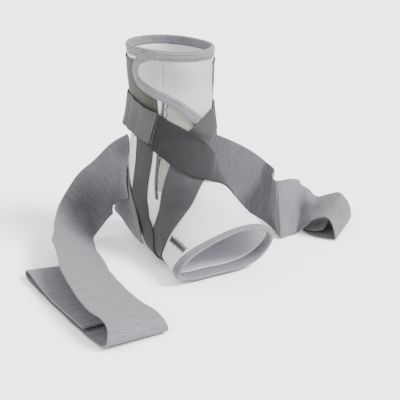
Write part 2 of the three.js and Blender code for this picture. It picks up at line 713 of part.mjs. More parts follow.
// Crossed straps, stirrup and end tab
const strapStep = 5;
const strapColumns = 4;
addLaid('instep_strap_lateral', strapGrid(routes.lateralStrap, webbingWidth, strapStep, strapColumns), webbingThickness, looks.webbing);
addLaid('stirrup_strap', strapGrid(routes.stirrup, stirrupWidth, strapStep, strapColumns), webbingThickness, looks.stirrup);
addLaid('instep_strap_medial', strapGrid(routes.medialStrap, webbingWidth, strapStep, strapColumns), webbingThickness, looks.webbing);
addLaid('strap_tab', strapGrid(routes.tab, tabWidth, strapStep, strapColumns), webbingThickness, looks.tab);

// The root of the inner elastic lies beside the stirrup, and the outer one's root lies over it.
// Steps: how many rows are the root. Room: gap to what lies under it. Radius: where that is looked for.
const innerRoot = { steps: 9, room: 1.9, radius: 2.5 };
const outerRoot = { steps: 6, room: 0.7, radius: 6 };
addPiece('elastic_strap_medial', looseStrap(medialElastic, looseInward, innerRoot), looks.elastic);
addPiece('elastic_strap_lateral', looseStrap(lateralElastic, looseOutward, outerRoot), looks.elastic);

export default group;
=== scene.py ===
# Ankle brace for a right foot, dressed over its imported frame.
# Lengths are millimetres until a mesh is made. X points to the toes, Y to the inner side, Z up.
import math

import bpy
import numpy as np
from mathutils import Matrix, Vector


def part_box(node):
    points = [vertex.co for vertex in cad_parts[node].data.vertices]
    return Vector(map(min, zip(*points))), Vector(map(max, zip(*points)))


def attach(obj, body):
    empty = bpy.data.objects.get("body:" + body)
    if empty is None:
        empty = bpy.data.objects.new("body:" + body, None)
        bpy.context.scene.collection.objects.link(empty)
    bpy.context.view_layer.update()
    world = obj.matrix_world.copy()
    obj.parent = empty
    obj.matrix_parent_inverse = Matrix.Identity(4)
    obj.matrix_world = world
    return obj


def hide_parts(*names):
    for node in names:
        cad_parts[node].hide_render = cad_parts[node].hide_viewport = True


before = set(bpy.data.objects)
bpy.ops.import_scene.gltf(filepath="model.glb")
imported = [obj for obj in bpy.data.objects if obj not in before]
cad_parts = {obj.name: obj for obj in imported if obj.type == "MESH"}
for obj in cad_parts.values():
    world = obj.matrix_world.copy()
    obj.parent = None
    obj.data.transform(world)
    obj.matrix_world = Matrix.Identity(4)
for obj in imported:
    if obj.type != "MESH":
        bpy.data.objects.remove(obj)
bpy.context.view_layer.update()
BODY = "root"
MM = 0.001

# Driving sizes
RIM_HEIGHT = round(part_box("rim_binding")[1][2] / MM, 1)
FOOT_REACH = 105.0
HEEL_REACH = 51.0
FOOT_HALF_WIDTH = 44.0
SLEEVE_WALL = 2.0
BINDING_WIDTH = 8.0
FLAP_BINDING_WIDTH = 7.0
BINDING_EXTRA = 0.6
PANEL_THICKNESS = 0.9
FLAP_THICKNESS = 1.8
WEBBING_THICKNESS = 1.2
ELASTIC_THICKNESS = 1.2
WEBBING_WIDTH = 30.0
STIRRUP_WIDTH = 22.0
TAB_WIDTH = 29.0
ELASTIC_WIDTH = 52.0
CLEARANCE = 0.35
LOOSE_FORWARD = 156.0
LOOSE_OUTWARD = 145.0
LOOSE_INWARD = 128.0

# Steps of the meshes and walks
ROUTE_STEP = 1.5
ACROSS_STEP = 1.8
PATCH_STEP = 1.6
LOOSE_STEP = 1.1
LOOSE_ACROSS_STEP = 2.0
WALK_STRIDE = 1.0
UV_UNIT = 10.0

# Sections of the hollow: front, front_up, back, back_up, half, front_shift, back_shift, widest,
# front_square, back_square. front and back: share of FOOT_REACH ahead, or of HEEL_REACH where
# below 0. The ups: share of RIM_HEIGHT. half and the shifts: share of FOOT_HALF_WIDTH. widest:
# place of the greatest width. The squares: exponents of the outline.
SECTIONS = (
    (0.4, 1, -0.863, 1, 0.7, 0, 0, 0.5, 2.1, 2.1),
    (0.386, 0.825, -0.8, 0.825, 0.69, 0, 0, 0.5, 2.1, 2.1),
    (0.391, 0.663, -0.755, 0.64, 0.64, -0.02, -0.02, 0.5, 2.1, 2.1),
    (0.428, 0.536, -0.82, 0.44, 0.68, -0.05, -0.05, 0.5, 2.1, 2.1),
    (0.543, 0.436, -0.99, 0.2, 0.735, -0.03, -0.01, 0.5, 2.1, 2.1),
    (0.657, 0.376, -0.87, 0.036, 0.73, 0.05, 0, 0.48, 2.1, 2.3),
    (0.753, 0.328, -0.24, 0.028, 0.75, 0.12, -0.02, 0.44, 2.0, 2.9),
    (0.86, 0.288, 0.333, 0.033, 0.8, 0.15, -0.12, 0.4, 2.0, 3.2),
    (1, 0.24, 0.85, 0.024, 0.93, 0.2, -0.22, 0.3, 1.9, 3.2),
)

# Ankle bones: along, around, height and spread in share of FOOT_HALF_WIDTH
ANKLE_BONES = ((0.4, -92.0, 0.035, 0.4), (0.44, 112.0, 0.04, 0.36))

# Places on the sleeve: along runs from 0 at the rim to 1 at the foot opening, around is the
# angle in degrees from the front line, positive to the outer side.
LATERAL_ROUTE = ((0.842, 168), (0.838, 148), (0.824, 124), (0.795, 96), (0.72, 69), (0.632, 50),
                 (0.548, 31), (0.466, 15), (0.389, 0), (0.323, -17), (0.28, -37), (0.266, -66),
                 (0.262, -105), (0.262, -150), (0.258, -182), (0.252, -218))
MEDIAL_ROUTE = ((0.838, -147), (0.829, -135), (0.81, -120), (0.755, -98), (0.675, -76),
                (0.595, -50), (0.53, -28), (0.488, -11), (0.434, 4), (0.377, 20), (0.339, 35),
                (0.31, 50), (0.284, 65), (0.266, 84), (0.258, 98))
STIRRUP_ROUTE = ((0.325, 77), (0.37, 76), (0.431, 77), (0.494, 82), (0.552, 88), (0.606, 92),
                 (0.68, 100), (0.77, 115), (0.822, 134), (0.845, 156), (0.85, 180),
                 (0.845, 204), (0.815, 228), (0.755, 246), (0.67, 259), (0.59, 266),
                 (0.5, 270), (0.41, 272))
TAB_BACKING_ROUTE = ((0.265, 75), (0.273, 67), (0.2828, 55.4))
TAB_ROUTE = ((0.246, 172), (0.24, 150), (0.24, 112), (0.25, 92), (0.265, 75), (0.281, 58))

# Panels: first and last row along, then start and end around in the first and in the last row
LOOP_PANEL = (0.046, 0.3, 54, 329, 54, 327)
HOOK_STRIP = (0.19, 0.37, -22, 39, -22, 43)
CLOSURE_PATCH = (0.37, 0.56, 12, 47, 30, 61)

# Cuff flap: upper edge, then the outline round the tip
FLAP_END = -22.0
FLAP_TOP = 0.002
FLAP_TIP = ((0.005, 62), (0.026, 79), (0.056, 87), (0.085, 90), (0.116, 87), (0.136, 79),
            (0.154, 65), (0.172, 49), (0.191, 35), (0.235, 16), (0.283, -5), (0.325, -26))

# Loose elastic straps from the sewn end to the free end: ahead, beside, out, up, heading, lean,
# wide. ahead: share of LOOSE_FORWARD, or of HEEL_REACH where below 0. beside: share of
# FOOT_HALF_WIDTH. out: share of the strap's reach to its side. up and wide: share of
# ELASTIC_WIDTH. heading and lean: degrees, across the strap.
LATERAL_ELASTIC = (
    (-0.265, -0.66, 0, 1.43, 205, -104, 1.08),
    (-0.51, -0.82, 0, 1.255, 250, -110, 1.08),
    (-0.72, 0, -0.3, 1.01, 270, -119, 1.09),
    (-0.87, 0, -0.385, 0.78, 270, -122, 1.06),
    (-0.905, 0, -0.472, 0.47, 273, -134, 1),
    (-0.66, 0, -0.555, 0.34, 285, -145, 1),
    (-0.32, 0, -0.61, 0.31, 286, -150, 1),
    (0.09, 0, -0.68, 0.31, 281, -154, 1),
    (0.37, 0, -0.77, 0.34, 284, -161, 1),
    (0.71, 0, -0.815, 0.3, 286, -168, 1),
    (0.925, 0, -0.815, 0.33, 282, -168, 1),
    (1, 0, -0.808, 0.215, 276, -169, 1),
    (0.96, 0, -0.818, 0.03, 274, -178.5, 1),
    (0.6, 0, -0.83, 0.018, 273, -180, 1),
    (0.13, 0, -0.82, 0.018, 268, -180, 1),
    (0.055, 0, -0.815, 0.07, 266, -177, 1),
    (0.12, 0, -0.818, 0.115, 266, -176, 1),
    (0.42, 0, -0.835, 0.085, 272, -178, 1),
    (0.79, 0, -0.83, 0.085, 274, -178, 1),
)
MEDIAL_ELASTIC = (
    (0.02, -0.84, 0, 0.64, 180, -115, 1),
    (-0.45, -0.78, 0, 0.83, 178, -80, 1),
    (-0.9, -0.58, 0, 0.96, 225, -72, 1),
    (-1.11, 0, 0, 1.27, 180, -80, 1),
    (-0.98, 0.6, 0, 1.34, 110, -94, 1),
    (-0.569, 0, 0.391, 1.22, 72, -110, 1),
    (-0.196, 0, 0.586, 0.96, 76, -114, 1),
    (0.032, 0, 0.758, 0.62, 70, -104, 1),
    (0.122, 0, 0.754, 0.52, 20, -90, 1),
    (0.247, 0, 0.699, 0.51, -18, -74, 1),
    (0.247, 0, 0.801, 0.5, -35, -72, 1),
    (0.218, 0, 0.895, 0.43, -40, -60, 1),
    (0.176, 0, 0.961, 0.34, -40, -40, 1),
    (0.202, 0, 1.008, 0.36, -39, -22, 1),
    (0.228, 0, 1.047, 0.35, -42, -6, 1),
    (0.308, 0, 1.091, 0.45, -43, -5, 1),
    (0.359, 0, 1.121, 0.44, -47, -14, 1),
    (0.394, 0, 1.148, 0.22, -54, -14, 1),
    (0.378, 0, 1.164, 0.02, -55, -1, 1),
    (0.282, 0, 1.086, 0.016, -56, 0, 1),
    (0.192, 0, 1.077, 0.018, -56, 0, 1),
    (0.179, 0, 1.082, 0.06, -56, 0, 1),
    (0.256, 0, 1.109, 0.08, -55, 0, 1),
    (0.301, 0, 1.141, 0.18, -54, -4, 1),
)


def spline(knots, values, t):
    """Smooth curve through rows of values at rising knots."""
    knots = np.asarray(knots, float)
    values = np.asarray(values, float)
    t = np.asarray(t, float)
    slopes = np.empty_like(values)
    slopes[1:-1] = (values[2:] - values[:-2]) / (knots[2:] - knots[:-2])[:, None]
    slopes[0] = (values[1] - values[0]) / (knots[1] - knots[0])
    slopes[-1] = (values[-1] - values[-2]) / (knots[-1] - knots[-2])
    i = np.clip(np.searchsorted(knots, t, side="left") - 1, 0, len(knots) - 2)
    span = (knots[i + 1] - knots[i])[..., None]
    u = (t - knots[i])[..., None] / span
    u2, u3 = u * u, u * u * u
    return ((2 * u3 - 3 * u2 + 1) * values[i] + (u3 - 2 * u2 + u) * span * slopes[i]
            + (3 * u2 - 2 * u3) * values[i + 1] + (u3 - u2) * span * slopes[i + 1])


def smooth_step(value):
    t = np.clip(value, 0.0, 1.0)
    return t * t * (3 - 2 * t)


SIZES = np.array(SECTIONS)
SIZES[:, (0, 2)] *= np.where(SIZES[:, (0, 2)] < 0, HEEL_REACH, FOOT_REACH)
SIZES[:, (1, 3)] *= RIM_HEIGHT
SIZES[:, 4:7] *= FOOT_HALF_WIDTH
STEPS = (np.hypot(np.diff(SIZES[:, 0]), np.diff(SIZES[:, 1]))
         + np.hypot(np.diff(SIZES[:, 2]), np.diff(SIZES[:, 3]))) / 2
SLEEVE_LENGTH = float(STEPS.sum())
KNOTS = np.concatenate(([0.0], np.cumsum(STEPS))) / SLEEVE_LENGTH


def plain_point(along, around):
    along, around = np.broadcast_arrays(np.asarray(along, float), np.asarray(around, float))
    row = spline(KNOTS, SIZES, along)
    (front_x, front_z, back_x, back_z, half, front_shift, back_shift, widest, front_square,
     back_square) = np.moveaxis(row, -1, 0)
    angle = np.radians(around)
    cosine, sine = np.cos(angle), np.sin(angle)
    square = back_square + (front_square - back_square) * smooth_step(0.5 + 0.5 * cosine)
    radius = (np.abs(cosine) ** square + np.abs(sine) ** square) ** (-1 / square)
    deep = radius * cosine
    share = widest + deep * np.where(deep > 0, 1 - widest, widest)
    x = back_x + (front_x - back_x) * share
    y = back_shift + (front_shift - back_shift) * share - radius * sine * half
    z = back_z + (front_z - back_z) * share
    return np.stack((x, y, z), axis=-1)


def unit(v):
    return v / np.maximum(np.linalg.norm(v, axis=-1, keepdims=True), 1e-9)


def plain_normal(along, around):
    along = np.asarray(along, float)
    step = 0.004
    down = (plain_point(np.minimum(1, along + step), around)
            - plain_point(np.maximum(0, along - step), around))
    side = plain_point(along, around + 1.0) - plain_point(along, around - 1.0)
    return unit(np.cross(side, down))


BONE_CENTRES = [plain_point(bone[0], bone[1]) for bone in ANKLE_BONES]

# Soft unevenness of the worn cloth: waves along a direction, length and height in mm
CLOTH_WAVES = (((0.62, 0.35, 0.70), 47.0, 0.30, 0.4), ((-0.55, 0.71, 0.44), 31.0, 0.20, 1.9),
               ((0.20, -0.64, 0.74), 22.0, 0.12, 3.1), ((0.83, 0.41, -0.37), 61.0, 0.30, 5.0))


def cloth_waves(point):
    return sum(size * np.sin(point @ np.array(direction) * (2 * math.pi / length) + phase)
               for direction, length, size, phase in CLOTH_WAVES)


def form(along, around, lift):
    """Point at a height over the hollow."""
    along = np.clip(along, 0.0, 1.0)
    point = plain_point(along, around)
    normal = plain_normal(along, around)
    height = lift + cloth_waves(point)
    for bone, centre in zip(ANKLE_BONES, BONE_CENTRES):
        near = np.linalg.norm(point - centre, axis=-1) / (bone[3] * FOOT_HALF_WIDTH)
        height = height + bone[2] * FOOT_HALF_WIDTH * np.exp(-near * near)
    return point + normal * np.asarray(height)[..., None]


def step_over(along, around, direction, length):
    """Step over the hollow from places towards directions, by a length."""
    here = plain_point(along, around)
    small = np.where(along < 0.5, 0.002, -0.002)
    down = (plain_point(along + small, around) - here) / small[..., None]
    side = (plain_point(along, around + 0.5) - here) / 0.5
    dd = (down * down).sum(-1)
    ds = (down * side).sum(-1)
    ss = (side * side).sum(-1)
    fd = (down * direction).sum(-1) * length
    fs = (side * direction).sum(-1) * length
    det = dd * ss - ds * ds
    return along + (fd * ss - fs * ds) / det, around + (fs * dd - fd * ds) / det


def walk_over(along, around, direction, distances):
    """Walk in straight lines over the hollow; the places reached at each distance."""
    places = []
    gone = 0.0
    for distance in distances:
        while gone < distance - 1e-9:
            length = min(WALK_STRIDE, distance - gone)
            normal = plain_normal(np.clip(along, 0, 1), around)
            direction = unit(direction - normal * (direction * normal).sum(-1, keepdims=True))
            along, around = step_over(along, around, direction, length)
            gone += length
        places.append((along, around))
    return places


# Heights over the hollow that the pieces laid so far reach
MAP_ROWS = 190
MAP_COLUMNS = 260
edge_rows = int(math.ceil(BINDING_WIDTH / SLEEVE_LENGTH * MAP_ROWS))
height_map = np.full((MAP_ROWS + 1, MAP_COLUMNS), SLEEVE_WALL)
height_map[:edge_rows + 1] += BINDING_EXTRA
height_map[-edge_rows - 1:] += BINDING_EXTRA


def neighbours(grid):
    """The grid moved by one cell each way, with its end rows held."""
    tall = np.pad(grid, ((1, 1), (0, 0)), mode="edge")
    return [np.roll(tall[1 - i:len(tall) - 1 - i], j, axis=1) for i in (-1, 0, 1) for j in (-1, 0, 1)]


def spread_map(cells):
    """The height map widened by some cells, then smoothed over no more than those."""
    wide = height_map
    for _ in range(cells):
        wide = np.max(neighbours(wide), axis=0)
    for _ in range(cells):
        wide = np.mean(neighbours(wide), axis=0)
    return wide


def sample_map(grid, along, around):
    r = np.clip(along, 0, 1) * MAP_ROWS
    c = (around % 360) / 360 * MAP_COLUMNS
    r0 = np.minimum(r.astype(int), MAP_ROWS - 1)
    c0 = c.astype(int) % MAP_COLUMNS
    c1 = (c0 + 1) % MAP_COLUMNS
    fr, fc = r - r0, c - np.floor(c)
    return ((grid[r0, c0] * (1 - fc) + grid[r0, c1] * fc) * (1 - fr)
            + (grid[r0 + 1, c0] * (1 - fc) + grid[r0 + 1, c1] * fc) * fr)


def lift_over(along, around, cells=3):
    return sample_map(spread_map(cells), along, around) + CLEARANCE


def cover_map(along, around, top):
    """Note in the height map that a piece lies over these places."""
    fine = 4
    for i in range(fine):
        for j in range(fine):
            u, v = i / fine, j / fine
            def mix(grid):
                rows = grid[:-1] * (1 - u) + grid[1:] * u
                return rows[:, :-1] * (1 - v) + rows[:, 1:] * v
            r = np.rint(np.clip(mix(along), 0, 1) * MAP_ROWS).astype(int)
            c = np.rint((mix(around) % 360) / 360 * MAP_COLUMNS).astype(int) % MAP_COLUMNS
            np.maximum.at(height_map, (r, c), mix(top))


def run_lengths(points):
    """Distances along a line of points."""
    return np.concatenate(([0], np.cumsum(np.linalg.norm(np.diff(points, axis=0), axis=-1))))


def grid_lengths(points):
    """Distances along the rows and along the columns of a grid of points."""
    down = np.linalg.norm(np.diff(points, axis=0), axis=-1).mean(axis=1)
    side = np.linalg.norm(np.diff(points, axis=1), axis=-1).mean(axis=0)
    return np.concatenate(([0], np.cumsum(down))), np.concatenate(([0], np.cumsum(side)))


def signed_volume(vertices, faces):
    a, b, c, d = (vertices[faces[:, k]] for k in range(4))
    return (np.einsum("ij,ij->i", a, np.cross(b, c)).sum()
            + np.einsum("ij,ij->i", a, np.cross(c, d)).sum())


def add_object(name, data):
    thing = bpy.data.objects.new(name, data)
    bpy.context.scene.collection.objects.link(thing)
    return thing


def link_mesh(name, vertices, faces, corner_uv, material):
    mesh = bpy.data.meshes.new(name)
    mesh.from_pydata((vertices * MM).tolist(), [], faces)
    mesh.uv_layers.new(name="UVMap").data.foreach_set("uv", (corner_uv / UV_UNIT).reshape(-1))
    mesh.polygons.foreach_set("use_smooth", [True] * len(mesh.polygons))
    mesh.materials.append(material)
    mesh.update()
    return add_object(name, mesh)


def add_mesh(name, vertices, faces, corner_uv, material):
    """Link a closed mesh of quads, with its faces turned outwards."""
    if signed_volume(vertices, faces) < 0:
        faces = faces[:, ::-1]
        corner_uv = corner_uv[:, ::-1]
    return link_mesh(name, vertices, faces.tolist(), corner_uv, material)


def quads(rows, columns):
    """Row and column of each quad in a grid of so many quads."""
    return (grid.reshape(-1) for grid in np.meshgrid(np.arange(rows), np.arange(columns), indexing="ij"))


def grid_faces(i, j, i1, j1, columns):
    return np.stack((i * columns + j, i1 * columns + j, i1 * columns + j1, i * columns + j1), axis=1)


def corner_uvs(i, j, u, v):
    pairs = ((i, j), (i + 1, j), (i + 1, j + 1), (i, j + 1))
    return np.stack([np.stack((u[a], v[b]), axis=-1) for a, b in pairs], axis=1)


def shell_mesh(name, low, high, material, wrap=False):
    """Closed cloth between two grids of points; its UVs are centimetres along and across."""
    rows, columns = low.shape[:2]
    u, v = grid_lengths(high)
    if wrap:
        u = np.append(u, u[-1] + np.linalg.norm(high[0] - high[-1], axis=-1).mean())
    vertices = np.concatenate((low.reshape(-1, 3), high.reshape(-1, 3)))
    top = rows * columns
    i, j = quads(rows if wrap else rows - 1, columns - 1)
    flat = grid_faces(i, j, (i + 1) % rows, j + 1, columns)
    uv = corner_uvs(i, j, u, v)
    faces = [flat + top, flat[:, (0, 3, 2, 1)]]
    uvs = [uv, uv[:, (0, 3, 2, 1)]]

    def close_edge(start, end, start_uv, end_uv, order):
        """Join the two faces along an edge, between each start and end."""
        faces.append(np.stack((start, end, end + top, start + top), axis=1)[:, ::order])
        corners = [np.stack(np.broadcast_arrays(*corner), axis=-1)
                   for corner in (start_uv, end_uv, end_uv, start_uv)]
        uvs.append(np.stack(corners, axis=1)[:, ::order])

    k = np.arange(rows if wrap else rows - 1)
    for column, order in ((0, 1), (columns - 1, -1)):
        close_edge(k * columns + column, (k + 1) % rows * columns + column,
                   (u[k], v[column]), (u[k + 1], v[column]), order)
    if not wrap:
        m = np.arange(columns - 1)
        for row, order in ((0, -1), (rows - 1, 1)):
            close_edge(row * columns + m, row * columns + m + 1, (u[row], v[m]), (u[row], v[m + 1]), order)
    return add_mesh(name, vertices, np.concatenate(faces), np.concatenate(uvs), material)


def ring_mesh(name, section_rows, material):
    """Ring whose rows are closed sections."""
    rows, columns = section_rows.shape[:2]
    closed = np.concatenate((section_rows, section_rows[:, :1]), axis=1)
    u, v = grid_lengths(closed)
    u = np.append(u, u[-1] + np.linalg.norm(section_rows[0] - section_rows[-1], axis=-1).mean())
    i, j = quads(rows, columns)
    faces = grid_faces(i, j, (i + 1) % rows, (j + 1) % columns, columns)
    return add_mesh(name, section_rows.reshape(-1, 3), faces, corner_uvs(i, j, u, v), material)


def round_share(distance, radius):
    """Share of the thickness left at a distance from an edge, for a rounded edge."""
    t = np.clip(distance / radius, 0.0, 1.0)
    return 0.25 + 0.75 * np.sqrt(1 - (1 - t) ** 2)


def edged(total, step, rim=(0.0, 0.15, 0.4, 0.8)):
    """Distances over a length, closer together by both ends."""
    count = max(2, int(round((total - 2 * rim[-1]) / step)) + 1)
    inner = np.linspace(rim[-1], total - rim[-1], count)
    return np.concatenate((rim[:-1], inner, total - np.array(rim[:-1])[::-1]))


def thick_pair(along, around, lift, thickness, row_edge, column_edge, radius=0.7):
    """Lower and upper points of a laid piece with rounded edges."""
    share = round_share(column_edge, radius)[None, :]
    if row_edge is not None:
        share = share * round_share(row_edge, radius)[:, None]
    middle = lift + thickness / 2
    low = form(along, around, middle - share * thickness / 2)
    high = form(along, around, middle + share * thickness / 2)
    for grid in (low, high):
        grid[..., 2] = np.maximum(grid[..., 2], 0.0)
    return low, high


def curve(table, t):
    return spline(np.arange(len(table)), table, t)


def even_run(table, point_at, samples, step, distances=None):
    """Places in a table at distances along its curve, the distances and the whole length."""
    last = len(table) - 1
    fine = np.linspace(0, last, samples * last + 1)
    lengths = run_lengths(point_at(curve(table, fine)))
    total = float(lengths[-1])
    if distances is None:
        distances = edged(total, step)
    return np.interp(distances, lengths, fine), distances, total


def route_point(places):
    return plain_point(places[:, 0], places[:, 1])


def follow_route(route, distances=None):
    """Places and directions along a route, at distances from its start."""
    t, distances, total = even_run(route, route_point, 60, ROUTE_STEP, distances)
    here = curve(route, t)
    ahead = curve(route, np.minimum(len(route) - 1, t + 0.02))
    behind = curve(route, np.maximum(0, t - 0.02))
    return here[:, 0], here[:, 1], unit(route_point(ahead) - route_point(behind)), distances, total


def strap_places(route, width):
    """Grid over the sleeve for a strap, distances from its edges and its length."""
    along, around, direction, distances, total = follow_route(route)
    side = unit(np.cross(plain_normal(along, around), direction))
    across = edged(width, ACROSS_STEP) - width / 2
    far = across[across > 1e-6]
    near = -across[across < -1e-6][::-1]
    left = walk_over(along, around, side, far)
    right = walk_over(along, around, -side, near)
    middle = [(along, around)] if len(far) + len(near) < len(across) else []
    grid_along, grid_around = np.array(right[::-1] + middle + left).transpose(1, 2, 0)
    row_edge = np.minimum(distances, total - distances)
    column_edge = width / 2 - np.abs(across)
    return grid_along, grid_around, row_edge, column_edge, total


def patch_places(panel):
    """The same for a panel, with its width and height."""
    start_along, end_along, start, end, start_low, end_low = panel
    height = (end_along - start_along) * SLEEVE_LENGTH
    down = edged(height, PATCH_STEP)
    middle = (start_along + end_along) / 2
    width = float(run_lengths(plain_point(middle, np.linspace(start, end, 40)))[-1])
    across = edged(width, PATCH_STEP)
    share_down, share_across = down / height, across / width
    first = start + (start_low - start) * share_down
    last = end + (end_low - end) * share_down
    around = first[:, None] + (last - first)[:, None] * share_across[None, :]
    along = start_along + (end_along - start_along) * share_down
    return (np.repeat(along[:, None], len(across), axis=1), around, np.minimum(down, height - down),
            np.minimum(across, width - across), (width, height))


def lay(name, places, thickness, material, stand=None):
    """Lay a piece over all that lies there; stand: where its lower edge bows out, spread, height."""
    along, around, row_edge, column_edge = places[:4]
    lift = lift_over(along, around)
    if stand is not None:
        middle, spread, height = stand
        drop = (along - along.min(axis=1, keepdims=True)) / np.ptp(along, axis=1, keepdims=True)
        lift = lift + height * drop * np.exp(-((around - middle) / spread) ** 2)
    low, high = thick_pair(along, around, lift, thickness, row_edge, column_edge)
    cover_map(along, around, lift + thickness)
    return shell_mesh(name, low, high, material)


# Materials

# Painted shade, darkening the worn cloth's colour round points where it lies in hollows or turns from the
# lamps: centre in mm, radius in mm, shade left
# Painted shadow on the shell in the gap beside the stirrup and under the elastics.
SHELL_PAINTED_SHADE = (((-12.0, -35.0, 34.0), 17.0, 0.25), ((-3.0, -34.0, 18.0), 16.0, 0.3),
                 ((-15.0, -35.0, 52.0), 9.0, 0.4))
# Painted shade on the lateral strap's upper end, which the key light leaves too bright.
WEBBING_PAINTED_SHADE = (((36.0, 23.0, 122.0), 27.0, 0.62),)
# Painted shade on the cuff flap, darker towards its back.
FLAP_PAINTED_SHADE = (((38.0, -13.0, 158.0), 15.0, 0.68), ((29.0, -27.0, 164.0), 19.0, 0.72))
# Painted shade on the elastics, in their twists, fold undersides and loops, and over the far end of the
# medial one.
ELASTIC_PAINTED_SHADE = (((-46.0, -72.0, 34.0), 38.0, 0.48), ((-20.0, -36.0, 34.0), 24.0, 0.45),
                   ((-24.0, -32.0, 88.0), 14.0, 0.4), ((44.0, 141.0, 4.0), 18.0, 0.3),
                   ((31.5, 129.0, 17.0), 17.0, 0.5), ((46.0, 138.0, 16.0), 42.0, 0.68),
                   ((28.0, 92.0, 3.0), 17.0, 0.4))


def screen(red, green, blue):
    """Screen colour, 0 to 255, to the shader's own scale."""
    shares = (red / 255.0, green / 255.0, blue / 255.0)
    return (*(c / 12.92 if c <= 0.04045 else ((c + 0.055) / 1.055) ** 2.4 for c in shares), 1.0)


class Look:
    """A principled material with small helpers for its nodes."""

    def __init__(self, name, roughness=0.8, sheen=0.25, specular=0.3):
        self.material = bpy.data.materials.new(name)
        self.material.use_nodes = True
        self.tree = self.material.node_tree
        self.tree.nodes.clear()
        self.shader = self.put("ShaderNodeBsdfPrincipled", **{
            "Roughness": roughness, "Sheen Weight": sheen, "Sheen Roughness": 0.5,
            "Specular IOR Level": specular})
        self.put("ShaderNodeOutputMaterial", Surface=self.shader.outputs["BSDF"])
        self.coordinates = self.put("ShaderNodeTexCoord").outputs
        self.heights = []

    def put(self, kind, **inputs):
        node = self.tree.nodes.new(kind)
        for key, value in inputs.items():
            self.feed(node.inputs[int(key[1:]) if key[1:].isdigit() else key], value)
        return node

    def feed(self, socket, value):
        if hasattr(value, "is_output"):
            self.tree.links.new(value, socket)
        else:
            socket.default_value = value

    def math(self, operation, a, b=0.0):
        node = self.put("ShaderNodeMath", i0=a, i1=b)
        node.operation = operation
        return node.outputs[0]

    def noise(self, scale, detail=3.0, stretch=(1.0, 1.0, 1.0), space="Object"):
        mapping = self.put("ShaderNodeMapping", Vector=self.coordinates[space], Scale=stretch)
        return self.put("ShaderNodeTexNoise", Vector=mapping.outputs[0], Scale=scale,
                        Detail=detail, Roughness=0.6).outputs["Fac"]

    def bands(self, period_mm, axis="X", blur=0.0):
        """Ribs across the UVs: a wave from 0 to 1 with a period in mm."""
        wave = self.put("ShaderNodeTexWave", Vector=self.coordinates["UV"], Scale=math.pi / period_mm,
                        Distortion=blur, Detail=1.0, **{"Detail Scale": 0.6})
        wave.bands_direction = axis
        return wave.outputs["Fac"]

    def ramp(self, fac, low, high, first, last):
        """From a colour to another: three screen values, or four on the shader's scale."""
        node = self.put("ShaderNodeValToRGB", Fac=fac)
        for element, place, tone in zip(node.color_ramp.elements, (low, high), (first, last)):
            element.position = place
            element.color = tone if len(tone) == 4 else screen(*tone)
        return node.outputs["Color"]

    def blend(self, fac, a, b, kind="MIX"):
        node = self.tree.nodes.new("ShaderNodeMix")
        node.data_type = "RGBA"
        node.blend_type = kind
        for index, value in ((0, fac), (6, a), (7, b)):
            self.feed(node.inputs[index], value)
        return node.outputs[2]

    def color(self, socket):
        self.feed(self.shader.inputs["Base Color"], socket)

    def paint_shade(self, socket, painted_shades):
        """Painted shade round some points: centre in mm, radius in mm and shade left at the centre."""
        for centre, radius, shade in painted_shades:
            mapping = self.put("ShaderNodeMapping", Vector=self.coordinates["Object"],
                               Scale=(1 / (radius * MM),) * 3, Location=[-c / radius for c in centre])
            length = self.put("ShaderNodeVectorMath", i0=mapping.outputs[0])
            length.operation = "LENGTH"
            soft = self.ramp(length.outputs["Value"], 0.0, 1.0, (shade, shade, shade, 1), (1, 1, 1, 1))
            socket = self.blend(1.0, socket, soft, "MULTIPLY")
        return socket

    def height(self, socket, depth_mm):
        """Add a relief, with its depth from lowest to highest."""
        self.heights.append(self.math("MULTIPLY", socket, depth_mm * MM))

    def done(self):
        total = self.heights[0]
        for more in self.heights[1:]:
            total = self.math("ADD", total, more)
        bump = self.put("ShaderNodeBump", Height=total, Strength=1.0, Distance=1.0)
        self.feed(self.shader.inputs["Normal"], bump.outputs["Normal"])
        return self.material


def laminate_look(name, dark, light, painted_shades=()):
    look = Look(name, roughness=0.66, sheen=0.1, specular=0.25)
    shade = look.ramp(look.noise(38.0, 4.0), 0.3, 0.75, dark, light)
    fine = look.ramp(look.noise(1900.0, 2.0), 0.3, 0.7, (205, 201, 210), (250, 249, 252))
    # The colour takes painted shade round the given points.
    look.color(look.paint_shade(look.blend(0.22, shade, fine, "MULTIPLY"), painted_shades))
    look.height(look.noise(2200.0, 2.0), 0.05)
    look.height(look.noise(160.0, 3.0), 0.10)
    return look.done()


def binding_look():
    look = Look("grey_binding", roughness=0.8, sheen=0.15, specular=0.2)
    melange = look.ramp(look.noise(900.0, 3.0, (1.0, 1.0, 0.35)), 0.32, 0.68, (78, 78, 82), (136, 136, 140))
    soft = look.ramp(look.noise(70.0, 2.0), 0.3, 0.7, (104, 104, 108), (122, 122, 126))
    rib = look.math("MULTIPLY", look.bands(1.3, "X", 0.8), look.bands(1.5, "Y", 0.5))
    dots = look.ramp(rib, 0.05, 0.55, (255, 255, 255), (158, 158, 160))
    look.color(look.blend(0.75, look.blend(0.5, melange, soft), dots, "MULTIPLY"))
    look.height(rib, 0.22)
    look.height(look.noise(1500.0, 2.0), 0.08)
    return look.done()


def loop_look():
    look = Look("dark_loop_pile", roughness=0.95, sheen=0.15, specular=0.1)
    pile = look.ramp(look.noise(1000.0, 4.0), 0.25, 0.75, (32, 31, 28), (77, 74, 70))
    streak = look.ramp(look.noise(260.0, 3.0, (1.0, 1.0, 0.25)), 0.3, 0.7, (42, 40, 38), (69, 67, 63))
    look.color(look.blend(0.5, pile, streak))
    look.height(look.noise(900.0, 4.0), 0.45)
    return look.done()


def hook_look():
    look = Look("hook_tape", roughness=0.7, sheen=0.1)
    pins = look.math("MULTIPLY", look.bands(1.3, "X"), look.bands(1.3, "Y"))
    look.color(look.ramp(pins, 0.05, 0.7, (116, 114, 108), (150, 148, 142)))
    look.height(pins, 0.3)
    look.height(look.noise(1400.0, 2.0), 0.06)
    return look.done()


